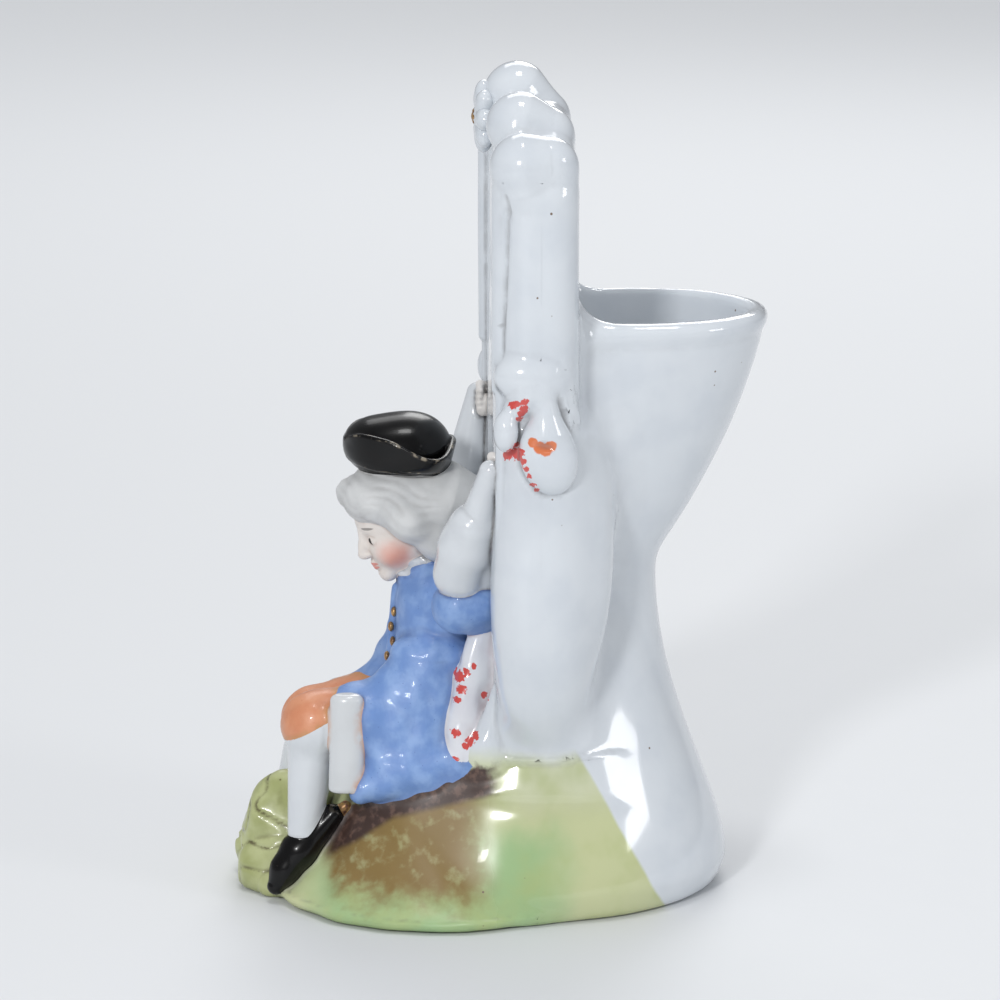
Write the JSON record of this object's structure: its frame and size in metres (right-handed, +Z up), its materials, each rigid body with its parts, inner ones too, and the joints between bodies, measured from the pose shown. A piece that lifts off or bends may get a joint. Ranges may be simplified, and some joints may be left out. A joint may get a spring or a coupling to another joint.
{
  "type": "spill vase",
  "caption": "Porcelain spill vase: a seated figure before a scallop-crested screen with a waisted vase behind, on a rocky mound base.",
  "frame": {"origin": "on the standing plane, under the middle of the bounding box", "axes": "+Z up; the seated figure faces -Y, so the vase is at +Y; +X is the left side of the figure"},
  "size_m": [0.068, 0.0949, 0.1499],
  "materials": {
    "white_glaze": "glossy white glaze with fine kiln specks",
    "blue_enamel": "light blue overglaze enamel, mottled",
    "orange_enamel": "thin orange overglaze enamel",
    "green_enamel": "yellow-green wash over white glaze, bare white at the back",
    "brown_enamel": "brushed dark brown and ochre enamel",
    "rock_enamel": "yellow-green rocks with brown crevices",
    "black_enamel": "glossy black enamel, rubbed at the edges",
    "gilding": "worn gilding",
    "bisque_skin": "matt bisque with a blush",
    "bisque_hair": "matt white bisque",
    "bare_biscuit": "unglazed biscuit"
  },
  "bodies": {
    "root": {"base_mound": "green_enamel", "base_floor": "bare_biscuit", "earth_bank": "brown_enamel", "front_rocks": "rock_enamel", "vase_body": "white_glaze", "screen_front": "white_glaze", "screen_back": "white_glaze", "screen_crest": "white_glaze", "border_roll_left": "white_glaze", "border_roll_right": "white_glaze", "crest_rosette": "white_glaze", "rosette_boss": "gilding", "bow_knot_left": "white_glaze", "bow_knot_right": "white_glaze", "bow_upper_loop_left": "white_glaze", "bow_upper_loop_right": "white_glaze", "bow_lower_loop_left": "white_glaze", "bow_lower_loop_right": "white_glaze", "coat_body": "blue_enamel", "coat_skirt_left": "blue_enamel", "coat_skirt_right": "blue_enamel", "skirt_facing_left": "white_glaze", "skirt_facing_right": "white_glaze", "coat_tail_left": "white_glaze", "coat_tail_right": "white_glaze", "coat_buttons": "gilding", "neckcloth": "white_glaze", "sleeve_cap_left": "blue_enamel", "sleeve_cap_right": "blue_enamel", "sleeve_puff_left": "white_glaze", "sleeve_puff_right": "white_glaze", "hand_left": "bisque_skin", "hand_right": "bisque_skin", "breeches_left": "orange_enamel", "breeches_right": "orange_enamel", "stocking_left": "white_glaze", "stocking_right": "white_glaze", "shoe_left": "black_enamel", "shoe_right": "black_enamel", "shoe_heel_left": "gilding", "shoe_heel_right": "gilding", "head": "bisque_skin", "hair": "bisque_hair", "hat_crown": "black_enamel", "hat_brim": "black_enamel"}
  },
  "joints": []
}
